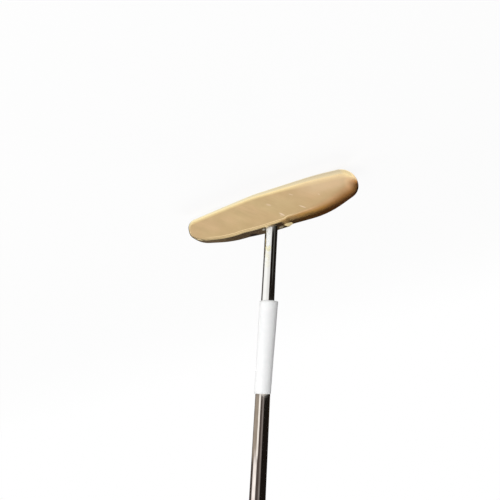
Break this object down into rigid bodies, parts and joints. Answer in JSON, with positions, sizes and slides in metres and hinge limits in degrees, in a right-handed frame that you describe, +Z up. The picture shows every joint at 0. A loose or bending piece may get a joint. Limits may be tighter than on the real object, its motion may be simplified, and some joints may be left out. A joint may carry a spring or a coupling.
{
  "type": "putter",
  "caption": "Centre-shafted blade putter: brass head with a flat face and rolled edges, a low crown pad, a bare tapered steel shaft and a rubber grip with a flat.",
  "frame": {"origin": "on the flat of the sole, under the middle of the head's length", "axes": "+Z up with the club standing at address, +X from toe to heel, the striking face looks along -Y, and the shaft leans over the heel in the XZ plane"},
  "size_m": [0.3589, 0.0264, 0.8443],
  "materials": {
    "head_brass": "satin face, polished crown",
    "shaft_chrome": "bright plated steel",
    "resin": "cured adhesive",
    "plug": "moulded",
    "tape": "creped paper",
    "grip_rubber": "fine moulded grain",
    "cap_plastic": "hard moulded",
    "label_paper": "coated white paper"
  },
  "bodies": {
    "root": {"head": "head_brass", "shaft": "shaft_chrome", "shaft_resin": "resin", "tip_plug": "plug", "grip_tape": "tape", "grip": "grip_rubber", "grip_cap": "cap_plastic", "price_label": "label_paper"}
  },
  "joints": []
}
